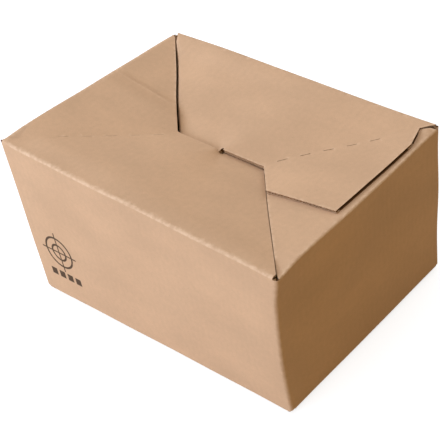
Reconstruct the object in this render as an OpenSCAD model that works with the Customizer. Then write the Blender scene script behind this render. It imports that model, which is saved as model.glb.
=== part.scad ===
/* [Carton] */
// Outer length, along the long walls
length = 310; // [290:1:400]
// Outer width, along the end walls
width = 230; // [190:1:250]
// Outer height
height = 166; // [100:1:300]
// Thickness of the corrugated board
board = 3; // [1.5:0.1:4]
// Inner radius of a fold
fold_inner = 0.5; // [0.3:0.1:1.5]

/* [Lock bottom] */
// Depth of its middle below the upper edge
dish = 20; // [10:1:28]
// Distance from an end wall to the point where the flaps lock
reach = 107; // [95:1:120]
// How far a tongue runs on under the opposite long flap
tongue = 32; // [15:1:45]
// Bevel of the tongue's corners
tongue_bevel = 9; // [4:1:12]
// Diameter of the relief hole where the long flaps cross
relief = 5; // [3:0.5:8]
// Distance from the wall over which a free edge bends down
bend_run = 30; // [20:1:40]
// How far that edge then runs on under the short flap
underlap = 8; // [4:1:12]
// Side clearance of the free edge beside the corner
edge_gap = 1.5; // [1:0.1:3]
// Clearance between boards that only lie on each other
ply_gap = 0.5; // [0.3:0.1:1]
// Trim of a short flap beside the diagonal crease
flap_trim = 3; // [2:0.5:8]

/* [Glue tabs] */
// Distance of a tab's straight edge from the middle line
tab_edge = 28; // [15:1:45]
// Clearance between a tab and the end wall, at that edge
tab_clear = 7; // [5:0.5:12]
// The same clearance where the corner cut starts
tab_clear_corner = 3.5; // [2:0.5:5]
// Where the corner cut starts, from the long wall
corner_run = 39; // [30:1:50]
// Depth of the corner cut, from the end wall
corner_depth = 12; // [9:1:14]
// Where the corner cut is deepest, from the long wall
corner_tip = 15; // [15:1:20]

/* [Diagonal creases] */
// Length of a perforation
cut_length = 9; // [5:1:12]
// Distance from one perforation to the next
cut_pitch = 22; // [16:1:30]
// Width of a perforation
cut_width = 0.8; // [0.5:0.1:1.5]

/* [Closing flaps] */
// Gap between the two outer flaps, along the middle
seam_gap = 2; // [1:0.5:6]
// Width of the slots that part the flaps, at each corner
slot = 5; // [4.5:0.5:10]

/* [Glue lap] */
// Width of the lap inside the end wall
lap = 35; // [20:1:50]
// Slant of the lap's ends
lap_slant = 8; // [3:1:15]
// Clearance of the lap above and below the folds
lap_clear = 2; // [1:0.5:5]

/* [Hidden] */
$fn = 48;
hx = length / 2;
hy = width / 2;
fold_r = board + fold_inner;
long_tilt = atan(dish / (hy - fold_r));
end_tilt = atan(dish / (reach - fold_r));
// The end walls fold one board lower than the long walls, so that the tabs lie on the short flaps
end_top = height - board;
// Sideways spread of a long flap's twist, for each millimetre away from the middle
twist_spread = 0.8;
// Rows and columns that follow the twist
bend_rows = 7;
slope_rows = 6;
tongue_rows = 2;
twist_columns = 8;
edge_columns = 4;
// Overlap and drop where one stretch of the sheet runs into the next
joint_run = 0.35;
joint_drop = 0.02;
// How far glued boards bite into each other
glue_bite = 0.05;
// Gap at each end of a short flap's fold
corner_gap = 0.6;
tab_lift = fold_r + board - glue_bite;
tall = 2 * height;

// Height of a long flap's outer face before it twists, at a distance from the long wall
function slope_z(from_wall) =
    height - fold_r * (1 - cos(long_tilt)) - joint_drop
    - (from_wall - fold_r - fold_r * sin(long_tilt)) * tan(long_tilt);

// Height of a glue tab's outer face, above the slope of the short flap
function tab_z(x) =
    end_top - fold_r + tab_lift * cos(end_tilt)
    - (x + hx - fold_r - tab_lift * sin(end_tilt)) * tan(end_tilt);

// Plan position of the diagonal crease, where those two faces meet
function crease_x(from_wall) =
    -hx + fold_r + tab_lift * sin(end_tilt)
    + (end_top - fold_r + tab_lift * cos(end_tilt) - slope_z(from_wall)) / tan(end_tilt);

// Plan position of the free edges, which run straight from a corner to the point where the flaps lock
lock_x = -crease_x(hy);
function free_x(from_wall) = hx - (hx - lock_x) * min(from_wall, hy) / hy;

// Soft step from 0 to 1
function clamp01(v) = max(0, min(1, v));
function ease(v) = let (c = clamp01(v)) c * c * (3 - 2 * c);

// Half of the width over which a long flap twists from its glued half to its free half
function twist_half(from_wall) = relief / 2 + twist_spread * max(0, hy - from_wall);

// How far the free half lies below the glued half: one board at the middle, two at the free edge
function twist_drop(x, from_wall) =
    let (
        half = twist_half(from_wall),
        past_middle = (board + ply_gap) * ease((x / half + 1) / 2),
        past_edge = board * ease((x - half) / (free_x(from_wall) - half))
    )
    ease((from_wall - 2 * fold_r) / (bend_run - 2 * fold_r)) * (past_middle + past_edge);

// Height of the outer face of a long flap and its tab
function flap_z(x, from_wall) =
    x < crease_x(min(from_wall, hy)) + joint_drop ? tab_z(x) : slope_z(from_wall) - twist_drop(x, from_wall);

// Distances from the long wall, and places across the flap, at which its faces bend
first_row = fold_r + fold_r * sin(long_tilt) - joint_run;
flap_rows = concat(
    [for (i = [0:bend_rows - 1]) first_row + (bend_run - first_row) * i / bend_rows],
    [for (i = [0:slope_rows - 1]) bend_run + (hy - bend_run) * i / slope_rows],
    [for (i = [0:tongue_rows]) hy + (tongue + 1) * i / tongue_rows]
);
function flap_columns(from_wall) =
    let (half = twist_half(from_wall), edge = free_x(from_wall))
    concat(
        [-hx - 1, crease_x(min(from_wall, hy))],
        [for (i = [0:twist_columns]) half * (2 * i / twist_columns - 1)],
        [for (i = [1:edge_columns]) half + (edge - half) * i / edge_columns],
        [hx + 1]
    );

// A board whose outer face follows the given rows of points
module bent_board(rows, thickness) {
    count = len(rows[0]);
    last = len(rows) - 1;
    outer = [for (row = rows) each row];
    inner = [for (p = outer) [p.x, p.y, p.z - thickness]];
    below = len(outer);
    function at(i, j) = i * count + j;
    cells = [for (i = [0:last - 1]) for (j = [0:count - 2]) [at(i, j), at(i, j + 1), at(i + 1, j + 1), at(i + 1, j)]];
    top_faces = [for (c = cells) each [[c[0], c[2], c[1]], [c[0], c[3], c[2]]]];
    under_faces = [for (f = top_faces) [f[2] + below, f[1] + below, f[0] + below]];
    rim = concat(
        [for (j = [0:count - 1]) at(0, j)],
        [for (i = [1:last]) at(i, count - 1)],
        [for (j = [count - 2:-1:0]) at(last, j)],
        [for (i = [last - 1:-1:1]) at(i, 0)]
    );
    rim_size = len(rim);
    rim_faces = [
        for (k = [0:rim_size - 1])
            let (a = rim[k], b = rim[(k + 1) % rim_size])
            each [[a, b, b + below], [a, b + below, a + below]]
    ];
    polyhedron(points = concat(outer, inner), faces = concat(top_faces, under_faces, rim_faces));
}

// Turn of the sheet round an upright axis, starting along +X
module fold(turn, run) {
    rotate_extrude(angle = turn)
        translate([fold_inner, 0])
            square([board, run]);
}

// Lays an upright profile or fold along X, with its own X along Y and its own Y upward
module along_x() {
    rotate([90, 0, 90])
        children();
}

// The carton is the same again after half a turn, apart from its glue lap
module twice() {
    children();
    rotate([0, 0, 180])
        children();
}

// Outline of a long flap in plan: glue tab, ridge edge, tongue and free edge
module long_flap_outline() {
    difference() {
        polygon([
            [-hx + fold_r, -hy],
            [-hx + fold_r, fold_r - hy],
            [-hx + corner_depth, corner_tip - hy],
            [-hx + tab_clear_corner, corner_run - hy],
            [-hx + tab_clear, tab_edge],
            [-free_x(hy - tab_edge), tab_edge],
            [-lock_x, 0],
            [relief / 2, 0],
            [relief / 2, tongue - tongue_bevel],
            [relief / 2 + tongue_bevel, tongue],
            [lock_x - tongue_bevel, tongue],
            [lock_x + underlap, 0],
            [free_x(bend_run + underlap) + underlap, bend_run + underlap - hy],
            [free_x(bend_run) - edge_gap, bend_run - hy],
            [hx - edge_gap, -hy]
        ]);
        circle(d = relief);
    }
}

// A long flap of the lock bottom with its tab: glued half level with the tab, free half twisted down
module long_flap() {
    translate([-hx + fold_r, fold_r - hy, height - fold_r])
        along_x()
            rotate([0, 0, 90 - long_tilt])
                fold(90 + long_tilt, length - 2 * fold_r - edge_gap);
    rows = [for (r = flap_rows) [for (x = flap_columns(r)) [x, r - hy, flap_z(x, r)]]];
    intersection() {
        bent_board(rows, board / cos(long_tilt));
        linear_extrude(tall)
            long_flap_outline();
    }
}

corner_a = [-hx, -hy];
corner_b = [-hx, hy];
lock_point = [-lock_x, 0];
trimmed = flap_trim / width;

// Short flap, between its trimmed side at the crease and its free edge
short_flap_plan = [
    corner_a + trimmed * (corner_b - corner_a),
    lock_point + trimmed * (corner_b - lock_point),
    corner_b,
    corner_b - [reach, 0],
    corner_a - [reach, 0]
];

// A point of the plan on the slope of the end flap, along the slope from the fold's axis
function on_end_slope(p) = [-p.y, (p.x + hx - fold_r - fold_r * sin(end_tilt)) / cos(end_tilt)];

// Short flap under the tab, with its fold to the end wall
module short_flap() {
    rotate([0, 0, -90])
        translate([0, fold_r - hx, end_top - fold_r]) {
            translate([fold_r + corner_gap - hy, 0, 0])
                along_x()
                    rotate([0, 0, 90 - end_tilt])
                        fold(90 + end_tilt, width - 2 * fold_r - 2 * corner_gap);
            rotate([-end_tilt, 0, 0])
                translate([0, 0, fold_inner])
                    linear_extrude(board)
                        intersection() {
                            polygon([for (p = short_flap_plan) on_end_slope(p)]);
                            translate([-hy, 0])
                                square([width, length]);
                        }
        }
}

// Short cuts along the diagonal crease, which let the tab fold
module perforations() {
    crease = corner_a - lock_point;
    crease_length = norm(crease);
    step = crease / crease_length;
    for (d = [cut_pitch / 2:cut_pitch:crease_length - cut_pitch])
        translate([lock_point.x + step.x * d, step.y * d, height / 2])
            rotate([0, 0, atan2(step.y, step.x)])
                translate([0, -cut_width / 2, 0])
                    cube([cut_length, cut_width, height]);
}

// Half of the lock bottom: a long flap and the short flap that is glued under its tab
module lock_bottom_half() {
    difference() {
        union() {
            long_flap();
            short_flap();
        }
        perforations();
    }
}

// Outer closing flap with its fold, on the underside
module outer_closing_flap() {
    translate([slot - hx, fold_r - hy, 0]) {
        cube([length - 2 * slot, hy - fold_r - seam_gap / 2, board]);
        translate([0, 0, fold_r])
            along_x()
                rotate([0, 0, 180])
                    fold(90, length - 2 * slot);
    }
}

// Inner closing flap with its fold, glued inside the outer ones
module inner_closing_flap() {
    rotate([0, 0, -90])
        translate([slot - hy, fold_r - hx, board]) {
            cube([width - 2 * slot, hy - fold_r, board]);
            translate([0, 0, fold_r])
                along_x()
                    rotate([0, 0, 180])
                        fold(90, width - 2 * slot);
        }
}

// Long wall at the front, from fold to fold
module long_wall(short_by = 0) {
    translate([fold_r - hx, -hy, fold_r])
        cube([length - 2 * fold_r - short_by, board, height - 2 * fold_r]);
}

// End wall at the left, up to the folds of its flaps, which lie one board inside the others
module end_wall(longer_by = 0) {
    translate([-hx, fold_r - hy, board + fold_r])
        cube([board, width - 2 * fold_r + longer_by, end_top - board - 2 * fold_r]);
}

// Upright fold at the front left corner, between two heights
module corner_fold(low = fold_r, high = height - fold_r, inset = 0) {
    translate([fold_r - hx + inset, fold_r - hy, low])
        rotate([0, 0, 180])
            fold(90, high - low);
}

lap_low = board + fold_r + lap_clear;
lap_high = end_top - fold_r - lap_clear;

// Lap that the sheet's end makes inside the left wall, with slanted ends
module glue_lap() {
    mirror([0, 1, 0])
        corner_fold(low = lap_low, high = lap_high, inset = board);
    translate([board - hx, 0, 0])
        rotate([90, 0, 90])
            linear_extrude(board)
                polygon([
                    [hy - fold_r, lap_low],
                    [hy - fold_r, lap_high],
                    [hy - fold_r - lap, lap_high - lap_slant],
                    [hy - fold_r - lap, lap_low + lap_slant]
                ]);
}

// The four walls, folded from one strip whose ends meet at the back left corner
module walls() {
    raw_edge = fold_r - joint_run;
    long_wall();
    rotate([0, 0, 180])
        long_wall(short_by = board);
    end_wall(longer_by = raw_edge);
    rotate([0, 0, 180])
        end_wall();
    corner_fold();
    rotate([0, 0, 180])
        corner_fold();
    mirror([1, 0, 0])
        corner_fold();
    glue_lap();
}

// One sheet of corrugated board, die-cut, folded, locked at the top and glued shut underneath
module carton() {
    color("burlywood")
        union() {
            walls();
            twice() {
                lock_bottom_half();
                outer_closing_flap();
                inner_closing_flap();
            }
        }
}

carton();
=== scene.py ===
"""Looks of a closed corrugated carton, folded from one kraft sheet, that stands with its locked bottom up."""
import logging
import math
from dataclasses import dataclass, field
from enum import Enum
from typing import Callable, Iterable, Optional, Sequence

import bmesh
import bpy
import numpy as np
from mathutils import Matrix, Vector
from mathutils.geometry import delaunay_2d_cdt


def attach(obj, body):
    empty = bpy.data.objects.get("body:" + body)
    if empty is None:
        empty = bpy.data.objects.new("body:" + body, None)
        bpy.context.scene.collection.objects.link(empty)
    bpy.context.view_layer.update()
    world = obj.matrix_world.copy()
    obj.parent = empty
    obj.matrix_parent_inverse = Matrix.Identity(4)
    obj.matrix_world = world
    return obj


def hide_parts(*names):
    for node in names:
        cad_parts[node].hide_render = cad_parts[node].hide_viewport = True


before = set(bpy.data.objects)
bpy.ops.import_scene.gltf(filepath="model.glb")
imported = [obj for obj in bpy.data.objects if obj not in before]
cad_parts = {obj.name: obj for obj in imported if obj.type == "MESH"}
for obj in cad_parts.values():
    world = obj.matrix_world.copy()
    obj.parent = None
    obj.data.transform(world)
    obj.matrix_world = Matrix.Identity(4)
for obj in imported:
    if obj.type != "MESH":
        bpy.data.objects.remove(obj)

LOG = logging.getLogger("carton")
# One millimetre in metres, and two distances in millimetres: less than rounding, and close enough to touch.
MM = 0.001
TINY = 1e-6
NEAR = 0.01
# Steps in which a fold, a corner or the notch turns.
TURNS = 8

Points = np.ndarray
Lengths = float | np.ndarray
Colour = tuple[float, float, float]
Socket = bpy.types.NodeSocket


class Wall(Enum):
    """The walls, in the order in which the sheet folds round the carton."""

    LEFT = 0
    FRONT = 1
    RIGHT = 2
    BACK = 3

    @property
    def along(self) -> Points:
        """Direction of the sheet along this wall, seen from above."""
        return np.array([(0.0, -1.0), (1.0, 0.0), (0.0, 1.0), (-1.0, 0.0)][self.value])

    @property
    def inward(self) -> Points:
        """Direction from this wall to the middle of the carton."""
        return np.array([(1.0, 0.0), (0.0, 1.0), (-1.0, 0.0), (0.0, -1.0)][self.value])

    @property
    def is_long(self) -> bool:
        """Whether this is the front or the back wall."""
        return self in (Wall.FRONT, Wall.BACK)


def ease(value: Points) -> Points:
    """Soft step from 0 to 1."""
    held = np.clip(value, 0.0, 1.0)
    return held * held * (3.0 - 2.0 * held)


def towards(azimuth: float, elevation: float) -> Vector:
    """Direction from the carton to a place at that azimuth, from the front to the right, and elevation."""
    a, e = math.radians(azimuth), math.radians(elevation)
    return Vector((math.sin(a) * math.cos(e), -math.cos(a) * math.cos(e), math.sin(e)))


def link(thing: bpy.types.Object) -> bpy.types.Object:
    """Puts an object in the scene and returns it."""
    bpy.context.scene.collection.objects.link(thing)
    return thing


@dataclass(frozen=True)
class Board:
    """Corrugated board: two liners with a fluted medium between them, in millimetres.

    A cut edge has a pocket between its liners, with the medium's end set back in it. A long edge that runs
    with the flutes has a deeper groove instead, which starts and ends softly.
    """

    thickness: float = 3.0
    liner: float = 0.4
    medium: float = 0.24
    pitch: float = 6.5
    pocket: float = 1.4
    shut_pocket: float = 0.5
    set_back: float = 0.2
    groove: float = 4.0
    groove_set_back: float = 2.8
    groove_ends: float = 6.0
    # Pockets deeper than this get painted shade on their inner rows.
    shade_paint_from: float = 1.6
    pocket_share: float = 0.45

    def wave(self, across: Points) -> Points:
        """Depth of the medium's middle below the outer face.

        Args:
            across: Places across the flutes.

        Returns:
            The depth at each place.
        """
        swing = (self.thickness - self.medium) / 2.0 - self.liner
        return self.thickness / 2.0 + swing * np.sin(2.0 * math.pi * across / self.pitch)


@dataclass(frozen=True)
class CartonSize:
    """Sizes that the walls and the flaps of the folded carton share, in millimetres.

    The crush is the share of the board's thickness that a tight fold leaves, and the board is whole again at
    the end of the crush run.
    """

    length: float = 310.0
    width: float = 230.0
    height: float = 166.0
    fold: float = 3.5
    long_fold: float = 2.4
    end_fold: float = 1.5
    end_rise: float = 0.5
    fold_gap: float = 0.6
    # The folds' pale paint: rubbing and a painted highlight.
    fold_rub_highlight: float = 1.0
    crush: float = 0.42
    crush_run: float = 2.6
    slot: float = 5.0
    board: Board = Board()

    @property
    def half(self) -> Points:
        """Half of the length and half of the width."""
        return np.array([self.length / 2.0, self.width / 2.0])

    @property
    def end_top(self) -> float:
        """Height at which the end walls fold: almost one board below the long walls."""
        return self.height - self.board.thickness + self.end_rise

    def hinge(self, wall: Wall) -> float:
        """Height at which a wall's outer face starts to turn into its upper flap."""
        return self.height - self.long_fold if wall.is_long else self.end_top - self.end_fold

    def floor_hinge(self, wall: Wall) -> float:
        """Height at which a wall's outer face starts to turn into its closing flap."""
        return self.fold if wall.is_long else self.fold + self.board.thickness

    def wall_half(self, wall: Wall) -> float:
        """Half of a wall's length."""
        return self.half[0] if wall.is_long else self.half[1]

    def wall_offset(self, wall: Wall) -> float:
        """Distance of a wall's outer face from the middle."""
        return self.half[1] if wall.is_long else self.half[0]


def fold_end(radius: float, tilt: float) -> float:
    """Distance from a wall's face at which a fold of that radius ends and a flap with that slope starts."""
    return radius * (1.0 + math.sin(tilt))


@dataclass(frozen=True)
class Corner:
    """A corner of a panel's outline, and the edge that follows it.

    The edge is cut, or joined to the next panel, and its rim may be painted near-black all through: painted
    shade between the liners. At a shut corner the pocket is pressed nearly closed. The edge's points are at
    most a step apart.
    """

    s: float
    v: float
    joined: bool = False
    # Painted shade: the rim of this edge is painted near-black.
    shade_painted: bool = False
    shut: bool = False
    step: float = 5.0


@dataclass
class Panel:
    """One panel of the sheet: its outline on the flat, and the surface that it lies on."""

    name: str
    surface: "WallStrip | FlapFold"
    outline: list[Corner]
    rows: list[float] = field(default_factory=list)
    columns: list[float] = field(default_factory=list)
    spacing: float = 9.0
    extra: list[tuple[float, float]] = field(default_factory=list)
    cuts: list[Points] = field(default_factory=list)
    # How much rubbing and painted highlight the cut edges get.
    edge_wear_highlight: float = 1.0


@dataclass
class WallStrip:
    """The strip of the sheet that makes the four walls and the glue lap, with rounded corners.

    At the top the board of three corners stands up as posts between the flaps. They are peaked and a little
    lower on the end wall's side, but the front right one dips slightly instead. Their cut tops are painted
    near-black: painted shade.
    """

    size: CartonSize
    raw_edge: float = 0.35
    lap: float = 35.0
    lap_slant: float = 8.0
    lap_clear: float = 2.0
    post_peak: float = 1.4
    post_dip: float = 0.4
    post_side: float = 0.6
    beside_corner: float = 1.2
    # The corners' pale paint: rubbing and a painted highlight.
    corner_rub_highlight: float = 0.5
    grid: float = 10.0

    def __post_init__(self) -> None:
        """Lays out the stretches: start, end, wall, first point or centre, and whether it is a corner."""
        half_x, half_y = self.size.half
        r, inset = self.size.fold, self.size.board.thickness
        quarter = r * math.pi / 2.0
        self.bend = quarter / TURNS
        spans = [
            (Wall.LEFT, half_y - self.raw_edge, half_y - r),
            (Wall.FRONT, half_x - r, half_x - r),
            (Wall.RIGHT, half_y - r, half_y - r),
            (Wall.BACK, half_x - r, half_x - r - inset),
        ]
        self.starts: dict[Wall, float] = {}
        self.stretches: list[tuple[float, float, Wall, Points, bool]] = []
        run = 0.0
        for wall, before, after in spans:
            origin = -wall.inward * self.size.wall_offset(wall)
            self.starts[wall] = run + before
            self.stretches.append((run, run + before + after, wall, origin - wall.along * before, False))
            run += before + after
            centre = origin + wall.along * after + wall.inward * r
            self.stretches.append((run, run + quarter, wall, centre, True))
            run += quarter
        lap_corner = np.array([-half_x + inset, half_y - r])
        self.stretches.append((run, run + self.lap, Wall.LEFT, lap_corner, False))
        self.lap_start = run
        self.end = run + self.lap

    def at(self, flat: Points) -> tuple[Points, Points]:
        """Places flat points of the strip.

        Args:
            flat: Places along the strip and heights.

        Returns:
            The points of the outer face and its normals.
        """
        points = np.zeros((len(flat), 3))
        normals = np.zeros((len(flat), 3))
        u = flat[:, 0]
        points[:, 2] = flat[:, 1]
        for first, last, wall, origin, is_corner in self.stretches:
            inside = (u >= first - TINY) & (u <= last + TINY)
            run = (u[inside] - first)[:, None]
            if is_corner:
                angle = run / self.size.fold
                outward = -wall.inward * np.cos(angle) + wall.along * np.sin(angle)
                points[inside, :2] = origin + outward * self.size.fold
                normals[inside, :2] = outward
            else:
                points[inside, :2] = origin + wall.along * run
                normals[inside, :2] = -wall.inward
        return points, normals

    def blank(self, flat: Points) -> Points:
        """Places on the flat blank, across and along the flutes."""
        return flat

    def thinning(self, flat: Points) -> Points:
        """Share of the board's thickness that is left: less where the walls fold tightly at the top.

        Args:
            flat: Places along the strip and heights.

        Returns:
            The share at each place.
        """
        size = self.size
        left = np.ones(len(flat))
        for wall in Wall:
            share = ease((size.hinge(wall) - flat[:, 1]) / size.crush_run)
            # The columns where a wall meets a corner count with the long wall.
            reach = size.wall_half(wall) - size.fold + (NEAR if wall.is_long else -NEAR)
            folded = np.abs(flat[:, 0] - self.starts[wall]) < reach
            left = np.where(folded, size.crush + (1.0 - size.crush) * share, left)
        return left

    def rub_and_highlight(self, flat: Points) -> Points:
        """How pale the strip is painted: a little at its corners, for rubbing and a painted highlight.

        Args:
            flat: Places along the strip and heights.

        Returns:
            The wear at each place.
        """
        worn_highlight = np.zeros(len(flat))
        for first, last in self._corners():
            inside = (flat[:, 0] > first + NEAR) & (flat[:, 0] < last - NEAR)
            worn_highlight[inside] = self.corner_rub_highlight
        return worn_highlight

    def _corners(self) -> list[tuple[float, float]]:
        """Start and end of each rounded corner."""
        return [(first, last) for first, last, _, _, is_corner in self.stretches if is_corner]

    def _columns(self) -> list[float]:
        """Places along the strip at which its corners bend, and one on each side of them.

        Returns:
            The places.
        """
        corners = self._corners()
        bends = [first + (last - first) * k / TURNS for first, last in corners for k in range(TURNS + 1)]
        before = [first - self.beside_corner for first, _ in corners]
        after = [last + self.beside_corner for _, last in corners]
        return bends + before + after

    def panel(self, front_gap: float, back_gap: float) -> Panel:
        """The whole strip, with steps at the flaps' slots and slanted ends on the lap.

        Args:
            front_gap: Gap beside the free edge of the front long flap.
            back_gap: Gap beside the free edge of the back long flap.

        Returns:
            The panel.
        """
        outline = self._lower_edge() + self._upper_edge(front_gap, back_gap)
        return Panel("walls", self, outline, columns=self._columns(), spacing=self.grid)

    def _post_start(self, wall: Wall) -> float:
        """Place where a wall ends and its corner starts."""
        return self.starts[wall] + self.size.wall_half(wall) - self.size.fold

    def _post_end(self, wall: Wall) -> float:
        """Place where the corner before a wall ends."""
        return self.starts[wall] - self.size.wall_half(wall) + self.size.fold

    def _raw(self) -> float:
        """Place of the raw edge, which the left wall starts with."""
        return self.starts[Wall.LEFT] - self.size.half[1] + self.raw_edge

    def _back_end(self) -> float:
        """Place where the back wall ends and the lap's corner starts."""
        return self._post_start(Wall.BACK) - self.size.board.thickness

    def _lower_edge(self) -> list[Corner]:
        """The lower edge, from the raw edge to the lap's end.

        Returns:
            The corners, in the strip's direction.
        """
        size, made = self.size, []
        for wall in Wall:
            low = size.floor_hinge(wall)
            wide = size.wall_half(wall) - size.slot
            made.append(Corner(self._raw() if wall is Wall.LEFT else self._post_end(wall), low))
            made.append(Corner(self.starts[wall] - wide, low, joined=True))
            if wall is not Wall.BACK:
                made.append(Corner(self.starts[wall] + wide, low))
                made.append(Corner(self._post_start(wall), low, step=self.bend))
        lap_low = size.floor_hinge(Wall.LEFT) + self.lap_clear
        return made + [
            Corner(self._back_end(), size.floor_hinge(Wall.BACK)),
            Corner(self._back_end(), lap_low, step=self.bend),
            Corner(self.lap_start, lap_low),
            Corner(self.end, lap_low + self.lap_slant),
        ]

    def _upper_edge(self, front_gap: float, back_gap: float) -> list[Corner]:
        """The upper edge, from the lap's end back to the raw edge.

        Args:
            front_gap: Gap beside the free edge of the front long flap.
            back_gap: Gap beside the free edge of the back long flap.

        Returns:
            The corners, against the strip's direction.
        """
        top, end_top = self.size.hinge(Wall.BACK), self.size.hinge(Wall.LEFT)
        lap_high = end_top - self.lap_clear
        front_end, right_start = self._post_start(Wall.FRONT), self._post_end(Wall.RIGHT)
        return [
            Corner(self.end, lap_high - self.lap_slant),
            Corner(self.lap_start, lap_high, step=self.bend),
            Corner(self._back_end(), lap_high),
            Corner(self._back_end(), top),
            *self._upper_steps(Wall.BACK, Wall.RIGHT, back_gap),
            Corner(right_start, end_top),
            # Painted shade: the right half of the front right post's top is painted near-black.
            Corner(right_start, top, shade_painted=True, step=self.bend),
            Corner(front_end + 0.5 * TURNS * self.bend, top - self.post_dip, step=self.bend),
            Corner(front_end, top),
            *self._upper_steps(Wall.FRONT, Wall.LEFT, front_gap),
            Corner(self._raw(), end_top),
        ]

    def _upper_steps(self, long_wall: Wall, end_wall: Wall, gap: float) -> list[Corner]:
        """The upper edge of a long wall, of the peaked post before it, and of the end wall before that.

        Args:
            long_wall: The long wall.
            end_wall: The end wall that comes before it along the strip.
            gap: Gap beside the free edge of the long wall's flap.

        Returns:
            The corners, against the strip's direction.
        """
        top, end_top = self.size.hinge(long_wall), self.size.hinge(end_wall)
        post = self._post_start(end_wall)
        # Painted shade: the post's top is painted near-black from the long wall's side, and past the peak too
        # at the left end wall.
        peak = Corner(
            post + 0.5 * TURNS * self.bend, top + self.post_peak, shade_painted=end_wall is Wall.LEFT, step=self.bend
        )
        half_fold = self.size.wall_half(end_wall) - self.size.fold - self.size.fold_gap
        return [
            Corner(self._post_start(long_wall) - gap, top, joined=True),
            Corner(self._post_end(long_wall), top, shade_painted=True, step=self.bend),
            peak,
            Corner(post, top - self.post_side),
            Corner(post, end_top),
            Corner(self.starts[end_wall] + half_fold, end_top, joined=True),
            Corner(self.starts[end_wall] - half_fold, end_top),
        ]


@dataclass
class FlapFold:
    """A flap with its fold: the outer face leaves a wall's edge, turns inward and runs on.

    Its shape is added to its height past the fold, by the distance along the wall and from the wall's face.
    Pressed says in the same way how much thinner its board is. A rise of -1 makes a flap that folds in below.
    """

    size: CartonSize
    wall: Wall
    strip_start: float
    hinge: float
    radius: float
    tilt: float = 0.0
    rise: float = 1.0
    # How far past the fold its pale paint of rubbing and painted highlight reaches.
    rub_highlight_past: float = 0.2
    slope_step: float = 0.05
    shape: Optional[Callable[[Points, Points], Points]] = None
    pressed: Optional[Callable[[Points, Points], Points]] = None

    @property
    def arc(self) -> float:
        """Length of the fold's outer face."""
        return self.radius * (math.pi / 2.0 + self.tilt)

    @property
    def arc_step(self) -> float:
        """Length of one of the steps in which the fold turns."""
        return self.arc / TURNS

    @property
    def arc_end(self) -> float:
        """Distance from the wall's face at which the fold ends."""
        return fold_end(self.radius, self.tilt)

    def rows(self, *past: float) -> list[float]:
        """Flat distances at which the flap bends: all through its fold, and so far past it."""
        return [self.arc_step * k for k in range(1, TURNS + 1)] + [self.arc + run for run in past]

    def unroll(self, from_wall: float) -> float:
        """Flat distance from the wall's edge to a distance from the wall's face, past the fold."""
        return self.arc + (from_wall - self.arc_end) / math.cos(self.tilt)

    def at(self, flat: Points) -> tuple[Points, Points]:
        """Places flat points of the flap.

        Args:
            flat: Places along the wall and distances from the wall's edge.

        Returns:
            The points of the outer face and its normals.
        """
        r = self.radius
        s, v = flat[:, 0], flat[:, 1]
        angle = np.clip(v / r, 0.0, math.pi / 2.0 + self.tilt)
        run = np.maximum(v - self.arc, 0.0)
        inward = r - r * np.cos(angle) + run * math.cos(self.tilt)
        up = r * np.sin(angle) - run * math.sin(self.tilt)
        normal = np.stack([np.zeros_like(s), -np.cos(angle), np.sin(angle)], axis=1)
        if self.shape is not None:
            sloped = run > TINY
            up = np.where(sloped, up + self.shape(s, inward), up)
            normal = np.where(sloped[:, None], self._shaped_normal(s, inward), normal)
        along, across = self.wall.along * self.rise, self.wall.inward
        plan = along * s[:, None] + across * (inward - self.size.wall_offset(self.wall))[:, None]
        points = np.column_stack([plan, self.hinge + self.rise * up])
        facing = along * normal[:, :1] + across * normal[:, 1:2]
        return points, np.column_stack([facing, self.rise * normal[:, 2]])

    def _shaped_normal(self, s: Points, inward: Points) -> Points:
        """Normals of the shaped flap: along the wall, inward and up.

        Args:
            s: Places along the wall.
            inward: Distances from the wall's face.

        Returns:
            The unit normals.
        """
        step = self.slope_step
        by_s = (self.shape(s + step, inward) - self.shape(s - step, inward)) / (2.0 * step)
        by_a = (self.shape(s, inward + step) - self.shape(s, inward - step)) / (2.0 * step)
        normal = np.stack([-by_s, math.tan(self.tilt) - by_a, np.ones_like(s)], axis=1)
        return normal / np.linalg.norm(normal, axis=1, keepdims=True)

    def blank(self, flat: Points) -> Points:
        """Places on the flat blank, across and along the flutes."""
        return np.array([self.strip_start, self.hinge]) + self.rise * flat

    def thinning(self, flat: Points) -> Points:
        """Share of the board's thickness that is left: less in a fold tighter than the board is thick.

        Args:
            flat: Places along the wall and distances from the wall's edge.

        Returns:
            The share at each place.
        """
        size = self.size
        if self.radius >= size.board.thickness:
            return np.ones(len(flat))
        past = ease((flat[:, 1] - self.arc) / size.crush_run)
        left = size.crush + (1.0 - size.crush) * past
        if self.pressed is not None:
            from_wall = self.arc_end + (flat[:, 1] - self.arc) * math.cos(self.tilt)
            left = left - self.pressed(flat[:, 0], from_wall) * past / size.board.thickness
        return left

    def rub_and_highlight(self, flat: Points) -> Points:
        """How pale the flap is painted: most along its fold, for rubbing and a painted highlight."""
        v = flat[:, 1]
        return np.where((v > NEAR) & (v < self.arc + self.rub_highlight_past), self.size.fold_rub_highlight, 0.0)


def subdivide(first: Points, last: Points, step: float) -> Points:
    """Even points from first up to, but not including, last.

    Args:
        first: The first point.
        last: The point that they stop short of.
        step: Longest distance between two of them.

    Returns:
        The points.
    """
    count = max(1, math.ceil(float(np.linalg.norm(last - first)) / step - TINY))
    share = np.arange(count)[:, None] / count
    return first + (last - first) * share


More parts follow.
